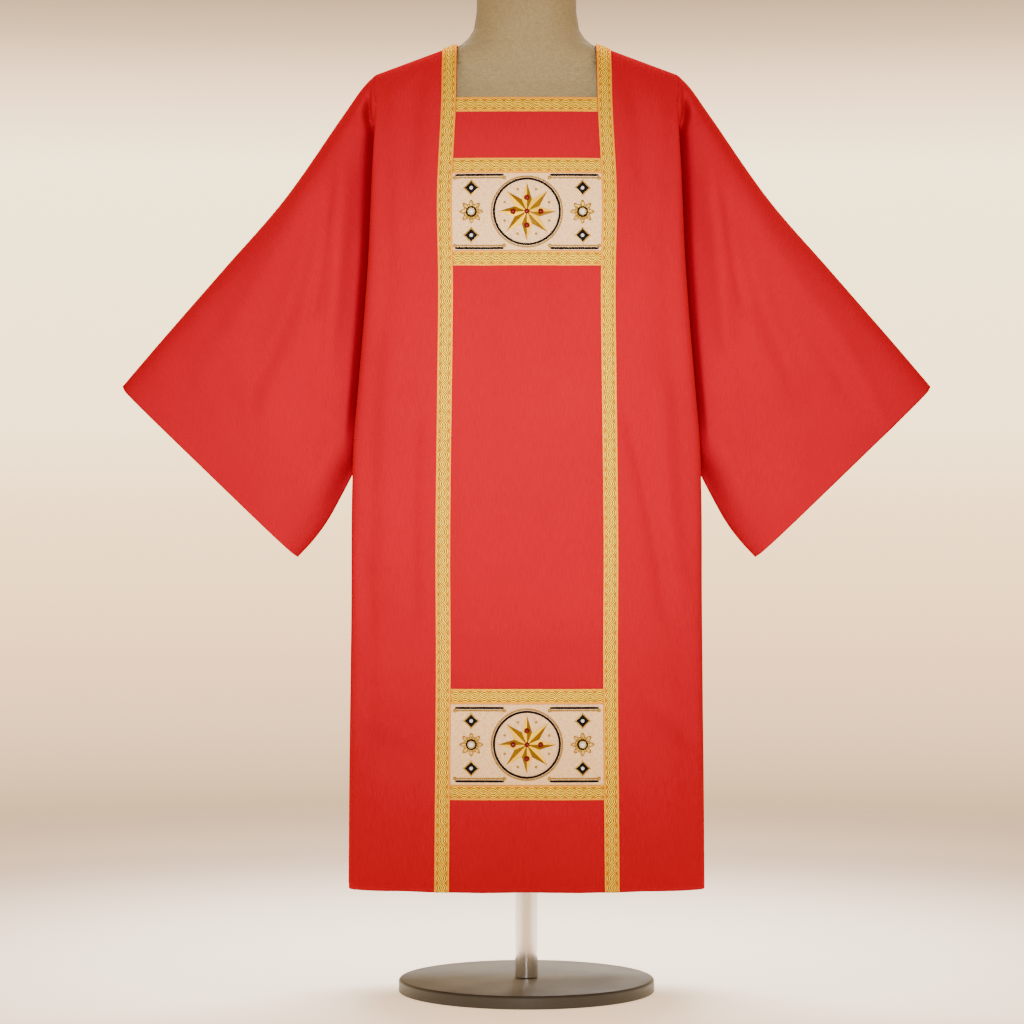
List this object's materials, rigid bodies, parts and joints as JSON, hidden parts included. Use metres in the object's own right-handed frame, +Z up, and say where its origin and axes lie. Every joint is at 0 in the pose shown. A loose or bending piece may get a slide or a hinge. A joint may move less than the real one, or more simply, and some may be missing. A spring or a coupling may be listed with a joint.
{
  "type": "dalmatic on a dress form",
  "caption": "Red dalmatic with open sleeves, gold galloons and embroidered panels, worn by a limbless dress form that stands on a pole and round foot.",
  "frame": {"origin": "middle of the stand's foot at the floor, under the middle of the bounding box", "axes": "+Z up, -Y the front of the dalmatic, +X the wearer's left"},
  "size_m": [1.1422, 0.36, 1.4523],
  "materials": {
    "red_cloth": "red satin twill with a soft sheen",
    "gold_galloon": "woven gold braid",
    "embroidered_ground": "pinkish beige linen with raised embroidery",
    "form_canvas": "matt tan canvas",
    "cap_wood": "satin turned wood",
    "pole_metal": "polished tube",
    "base_metal": "satin black paint"
  },
  "bodies": {
    "root": {"body_front": "red_cloth", "body_back": "red_cloth", "sleeve_left": "red_cloth", "sleeve_right": "red_cloth", "galloon_left": "gold_galloon", "galloon_right": "gold_galloon", "galloon_neck_front": "gold_galloon", "galloon_neck_back": "gold_galloon", "galloon_upper_top": "gold_galloon", "galloon_upper_bottom": "gold_galloon", "galloon_lower_top": "gold_galloon", "galloon_lower_bottom": "gold_galloon", "panel_upper": "embroidered_ground", "panel_lower": "embroidered_ground", "form_torso": "form_canvas", "form_neck_cap": "cap_wood", "stand_pole": "pole_metal", "stand_base": "base_metal"}
  },
  "joints": []
}
